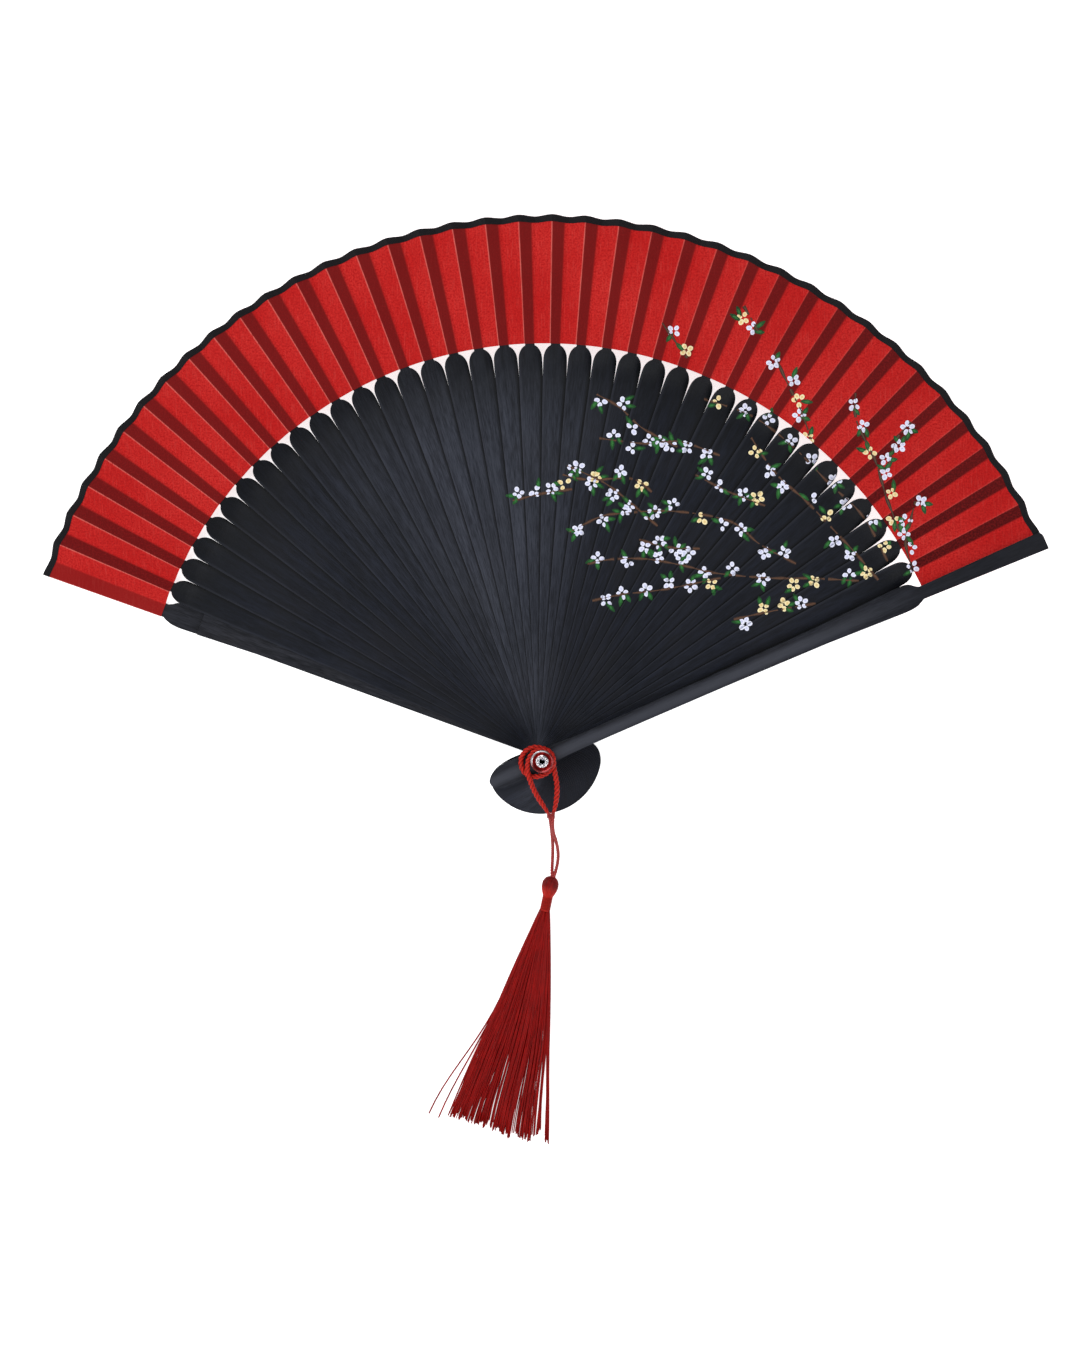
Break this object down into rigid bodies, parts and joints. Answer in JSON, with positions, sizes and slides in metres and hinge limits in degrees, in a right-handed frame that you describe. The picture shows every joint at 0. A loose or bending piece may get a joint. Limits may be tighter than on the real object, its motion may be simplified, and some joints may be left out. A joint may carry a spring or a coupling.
{
  "type": "folding fan",
  "caption": "Folding fan with dark lacquered sticks turning on a rivet, a pleated red cloth leaf and a hanging tassel.",
  "frame": {"origin": "on the pivot axis, in the plane of the rear guard's flat back", "axes": "+Z along the rivet out of the decorated face, +Y towards the top of the open leaf, +X to the right"},
  "size_m": [0.3551, 0.3339, 0.0291],
  "materials": {
    "guard_wood": "satin lacquer",
    "stick_wood": "satin lacquer",
    "rivet_metal": "polished",
    "washer_metal": "satin",
    "leaf_cloth": "plain weave",
    "edge_tape": "woven tape",
    "loop_cord": "twisted cord",
    "string_cord": "twisted string",
    "tassel_thread": "silky thread",
    "wrap_thread": "wound thread"
  },
  "bodies": {
    "rear": {"rear_guard": "guard_wood", "rivet": "rivet_metal", "rivet_washer": "washer_metal", "leaf": "leaf_cloth", "leaf_tape": "edge_tape"},
    "stick_01_body": {"stick_01": "stick_wood"},
    "stick_02_body": {"stick_02": "stick_wood"},
    "stick_03_body": {"stick_03": "stick_wood"},
    "stick_04_body": {"stick_04": "stick_wood"},
    "stick_05_body": {"stick_05": "stick_wood"},
    "stick_06_body": {"stick_06": "stick_wood"},
    "stick_07_body": {"stick_07": "stick_wood"},
    "stick_08_body": {"stick_08": "stick_wood"},
    "stick_09_body": {"stick_09": "stick_wood"},
    "stick_10_body": {"stick_10": "stick_wood"},
    "stick_11_body": {"stick_11": "stick_wood"},
    "stick_12_body": {"stick_12": "stick_wood"},
    "stick_13_body": {"stick_13": "stick_wood"},
    "stick_14_body": {"stick_14": "stick_wood"},
    "stick_15_body": {"stick_15": "stick_wood"},
    "stick_16_body": {"stick_16": "stick_wood"},
    "stick_17_body": {"stick_17": "stick_wood"},
    "stick_18_body": {"stick_18": "stick_wood"},
    "stick_19_body": {"stick_19": "stick_wood"},
    "stick_20_body": {"stick_20": "stick_wood"},
    "stick_21_body": {"stick_21": "stick_wood"},
    "stick_22_body": {"stick_22": "stick_wood"},
    "stick_23_body": {"stick_23": "stick_wood"},
    "stick_24_body": {"stick_24": "stick_wood"},
    "stick_25_body": {"stick_25": "stick_wood"},
    "stick_26_body": {"stick_26": "stick_wood"},
    "stick_27_body": {"stick_27": "stick_wood"},
    "stick_28_body": {"stick_28": "stick_wood"},
    "stick_29_body": {"stick_29": "stick_wood"},
    "stick_30_body": {"stick_30": "stick_wood"},
    "stick_31_body": {"stick_31": "stick_wood"},
    "stick_32_body": {"stick_32": "stick_wood"},
    "stick_33_body": {"stick_33": "stick_wood"},
    "stick_34_body": {"stick_34": "stick_wood"},
    "stick_35_body": {"stick_35": "stick_wood"},
    "stick_36_body": {"stick_36": "stick_wood"},
    "stick_37_body": {"stick_37": "stick_wood"},
    "front": {"front_guard": "guard_wood"},
    "tassel": {"loop_ring": "loop_cord", "loop_left_leg": "loop_cord", "loop_right_leg": "loop_cord", "string_left": "string_cord", "string_right": "string_cord", "tassel_knob": "tassel_thread", "tassel_wrap": "wrap_thread", "tassel_skirt": "tassel_thread"}
  },
  "joints": [
    {"name": "open_stick_01", "type": "hinge", "parent": "rear", "child": "stick_01_body", "pos_m": [0, 0, 0], "axis": [0, 0, 1], "range_deg": [-0.3, 3.56], "deforming": ["leaf", "leaf_tape"]},
    {"name": "open_stick_02", "type": "hinge", "parent": "stick_01_body", "child": "stick_02_body", "pos_m": [0, 0, 0], "axis": [0, 0, 1], "range_deg": [-0.3, 3.56]},
    {"name": "open_stick_03", "type": "hinge", "parent": "stick_02_body", "child": "stick_03_body", "pos_m": [0, 0, 0], "axis": [0, 0, 1], "range_deg": [-0.3, 3.56]},
    {"name": "open_stick_04", "type": "hinge", "parent": "stick_03_body", "child": "stick_04_body", "pos_m": [0, 0, 0], "axis": [0, 0, 1], "range_deg": [-0.3, 3.56]},
    {"name": "open_stick_05", "type": "hinge", "parent": "stick_04_body", "child": "stick_05_body", "pos_m": [0, 0, 0], "axis": [0, 0, 1], "range_deg": [-0.3, 3.56]},
    {"name": "open_stick_06", "type": "hinge", "parent": "stick_05_body", "child": "stick_06_body", "pos_m": [0, 0, 0], "axis": [0, 0, 1], "range_deg": [-0.3, 3.56]},
    {"name": "open_stick_07", "type": "hinge", "parent": "stick_06_body", "child": "stick_07_body", "pos_m": [0, 0, 0], "axis": [0, 0, 1], "range_deg": [-0.3, 3.56]},
    {"name": "open_stick_08", "type": "hinge", "parent": "stick_07_body", "child": "stick_08_body", "pos_m": [0, 0, 0], "axis": [0, 0, 1], "range_deg": [-0.3, 3.56]},
    {"name": "open_stick_09", "type": "hinge", "parent": "stick_08_body", "child": "stick_09_body", "pos_m": [0, 0, 0], "axis": [0, 0, 1], "range_deg": [-0.3, 3.56]},
    {"name": "open_stick_10", "type": "hinge", "parent": "stick_09_body", "child": "stick_10_body", "pos_m": [0, 0, 0], "axis": [0, 0, 1], "range_deg": [-0.3, 3.56]},
    {"name": "open_stick_11", "type": "hinge", "parent": "stick_10_body", "child": "stick_11_body", "pos_m": [0, 0, 0], "axis": [0, 0, 1], "range_deg": [-0.3, 3.56]},
    {"name": "open_stick_12", "type": "hinge", "parent": "stick_11_body", "child": "stick_12_body", "pos_m": [0, 0, 0], "axis": [0, 0, 1], "range_deg": [-0.3, 3.56]},
    {"name": "open_stick_13", "type": "hinge", "parent": "stick_12_body", "child": "stick_13_body", "pos_m": [0, 0, 0], "axis": [0, 0, 1], "range_deg": [-0.3, 3.56]},
    {"name": "open_stick_14", "type": "hinge", "parent": "stick_13_body", "child": "stick_14_body", "pos_m": [0, 0, 0], "axis": [0, 0, 1], "range_deg": [-0.3, 3.56]},
    {"name": "open_stick_15", "type": "hinge", "parent": "stick_14_body", "child": "stick_15_body", "pos_m": [0, 0, 0], "axis": [0, 0, 1], "range_deg": [-0.3, 3.56]},
    {"name": "open_stick_16", "type": "hinge", "parent": "stick_15_body", "child": "stick_16_body", "pos_m": [0, 0, 0], "axis": [0, 0, 1], "range_deg": [-0.3, 3.56]},
    {"name": "open_stick_17", "type": "hinge", "parent": "stick_16_body", "child": "stick_17_body", "pos_m": [0, 0, 0], "axis": [0, 0, 1], "range_deg": [-0.3, 3.56]},
    {"name": "open_stick_18", "type": "hinge", "parent": "stick_17_body", "child": "stick_18_body", "pos_m": [0, 0, 0], "axis": [0, 0, 1], "range_deg": [-0.3, 3.56]},
    {"name": "open_stick_19", "type": "hinge", "parent": "stick_18_body", "child": "stick_19_body", "pos_m": [0, 0, 0], "axis": [0, 0, 1], "range_deg": [-0.3, 3.56]},
    {"name": "open_stick_20", "type": "hinge", "parent": "stick_19_body", "child": "stick_20_body", "pos_m": [0, 0, 0], "axis": [0, 0, 1], "range_deg": [-0.3, 3.56]},
    {"name": "open_stick_21", "type": "hinge", "parent": "stick_20_body", "child": "stick_21_body", "pos_m": [0, 0, 0], "axis": [0, 0, 1], "range_deg": [-0.3, 3.56]},
    {"name": "open_stick_22", "type": "hinge", "parent": "stick_21_body", "child": "stick_22_body", "pos_m": [0, 0, 0], "axis": [0, 0, 1], "range_deg": [-0.3, 3.56]},
    {"name": "open_stick_23", "type": "hinge", "parent": "stick_22_body", "child": "stick_23_body", "pos_m": [0, 0, 0], "axis": [0, 0, 1], "range_deg": [-0.3, 3.56]},
    {"name": "open_stick_24", "type": "hinge", "parent": "stick_23_body", "child": "stick_24_body", "pos_m": [0, 0, 0], "axis": [0, 0, 1], "range_deg": [-0.3, 3.56]},
    {"name": "open_stick_25", "type": "hinge", "parent": "stick_24_body", "child": "stick_25_body", "pos_m": [0, 0, 0], "axis": [0, 0, 1], "range_deg": [-0.3, 3.56]},
    {"name": "open_stick_26", "type": "hinge", "parent": "stick_25_body", "child": "stick_26_body", "pos_m": [0, 0, 0], "axis": [0, 0, 1], "range_deg": [-0.3, 3.56]},
    {"name": "open_stick_27", "type": "hinge", "parent": "stick_26_body", "child": "stick_27_body", "pos_m": [0, 0, 0], "axis": [0, 0, 1], "range_deg": [-0.3, 3.56]},
    {"name": "open_stick_28", "type": "hinge", "parent": "stick_27_body", "child": "stick_28_body", "pos_m": [0, 0, 0], "axis": [0, 0, 1], "range_deg": [-0.3, 3.56]},
    {"name": "open_stick_29", "type": "hinge", "parent": "stick_28_body", "child": "stick_29_body", "pos_m": [0, 0, 0], "axis": [0, 0, 1], "range_deg": [-0.3, 3.56]},
    {"name": "open_stick_30", "type": "hinge", "parent": "stick_29_body", "child": "stick_30_body", "pos_m": [0, 0, 0], "axis": [0, 0, 1], "range_deg": [-0.3, 3.56]},
    {"name": "open_stick_31", "type": "hinge", "parent": "stick_30_body", "child": "stick_31_body", "pos_m": [0, 0, 0], "axis": [0, 0, 1], "range_deg": [-0.3, 3.56]},
    {"name": "open_stick_32", "type": "hinge", "parent": "stick_31_body", "child": "stick_32_body", "pos_m": [0, 0, 0], "axis": [0, 0, 1], "range_deg": [-0.3, 3.56]},
    {"name": "open_stick_33", "type": "hinge", "parent": "stick_32_body", "child": "stick_33_body", "pos_m": [0, 0, 0], "axis": [0, 0, 1], "range_deg": [-0.3, 3.56]},
    {"name": "open_stick_34", "type": "hinge", "parent": "stick_33_body", "child": "stick_34_body", "pos_m": [0, 0, 0], "axis": [0, 0, 1], "range_deg": [-0.3, 3.56]},
    {"name": "open_stick_35", "type": "hinge", "parent": "stick_34_body", "child": "stick_35_body", "pos_m": [0, 0, 0], "axis": [0, 0, 1], "range_deg": [-0.3, 3.56]},
    {"name": "open_stick_36", "type": "hinge", "parent": "stick_35_body", "child": "stick_36_body", "pos_m": [0, 0, 0], "axis": [0, 0, 1], "range_deg": [-0.3, 3.56]},
    {"name": "open_stick_37", "type": "hinge", "parent": "stick_36_body", "child": "stick_37_body", "pos_m": [0, 0, 0], "axis": [0, 0, 1], "range_deg": [-0.3, 3.56]},
    {"name": "open_front_guard", "type": "hinge", "parent": "stick_37_body", "child": "front", "pos_m": [0, 0, 0], "axis": [0, 0, 1], "range_deg": [-0.3, 3.56]},
    {"name": "tassel_swing", "type": "hinge", "parent": "rear", "child": "tassel", "pos_m": [0, 0, 0], "axis": [0, 0, 1], "range_deg": [-40, 40]}
  ],
  "couplings": [
    {"joint": "open_stick_02", "follows": "open_stick_01", "ratio": 1},
    {"joint": "open_stick_03", "follows": "open_stick_01", "ratio": 1},
    {"joint": "open_stick_04", "follows": "open_stick_01", "ratio": 1},
    {"joint": "open_stick_05", "follows": "open_stick_01", "ratio": 1},
    {"joint": "open_stick_06", "follows": "open_stick_01", "ratio": 1},
    {"joint": "open_stick_07", "follows": "open_stick_01", "ratio": 1},
    {"joint": "open_stick_08", "follows": "open_stick_01", "ratio": 1},
    {"joint": "open_stick_09", "follows": "open_stick_01", "ratio": 1},
    {"joint": "open_stick_10", "follows": "open_stick_01", "ratio": 1},
    {"joint": "open_stick_11", "follows": "open_stick_01", "ratio": 1},
    {"joint": "open_stick_12", "follows": "open_stick_01", "ratio": 1},
    {"joint": "open_stick_13", "follows": "open_stick_01", "ratio": 1},
    {"joint": "open_stick_14", "follows": "open_stick_01", "ratio": 1},
    {"joint": "open_stick_15", "follows": "open_stick_01", "ratio": 1},
    {"joint": "open_stick_16", "follows": "open_stick_01", "ratio": 1},
    {"joint": "open_stick_17", "follows": "open_stick_01", "ratio": 1},
    {"joint": "open_stick_18", "follows": "open_stick_01", "ratio": 1},
    {"joint": "open_stick_19", "follows": "open_stick_01", "ratio": 1},
    {"joint": "open_stick_20", "follows": "open_stick_01", "ratio": 1},
    {"joint": "open_stick_21", "follows": "open_stick_01", "ratio": 1},
    {"joint": "open_stick_22", "follows": "open_stick_01", "ratio": 1},
    {"joint": "open_stick_23", "follows": "open_stick_01", "ratio": 1},
    {"joint": "open_stick_24", "follows": "open_stick_01", "ratio": 1},
    {"joint": "open_stick_25", "follows": "open_stick_01", "ratio": 1},
    {"joint": "open_stick_26", "follows": "open_stick_01", "ratio": 1},
    {"joint": "open_stick_27", "follows": "open_stick_01", "ratio": 1},
    {"joint": "open_stick_28", "follows": "open_stick_01", "ratio": 1},
    {"joint": "open_stick_29", "follows": "open_stick_01", "ratio": 1},
    {"joint": "open_stick_30", "follows": "open_stick_01", "ratio": 1},
    {"joint": "open_stick_31", "follows": "open_stick_01", "ratio": 1},
    {"joint": "open_stick_32", "follows": "open_stick_01", "ratio": 1},
    {"joint": "open_stick_33", "follows": "open_stick_01", "ratio": 1},
    {"joint": "open_stick_34", "follows": "open_stick_01", "ratio": 1},
    {"joint": "open_stick_35", "follows": "open_stick_01", "ratio": 1},
    {"joint": "open_stick_36", "follows": "open_stick_01", "ratio": 1},
    {"joint": "open_stick_37", "follows": "open_stick_01", "ratio": 1},
    {"joint": "open_front_guard", "follows": "open_stick_01", "ratio": 1}
  ]
}
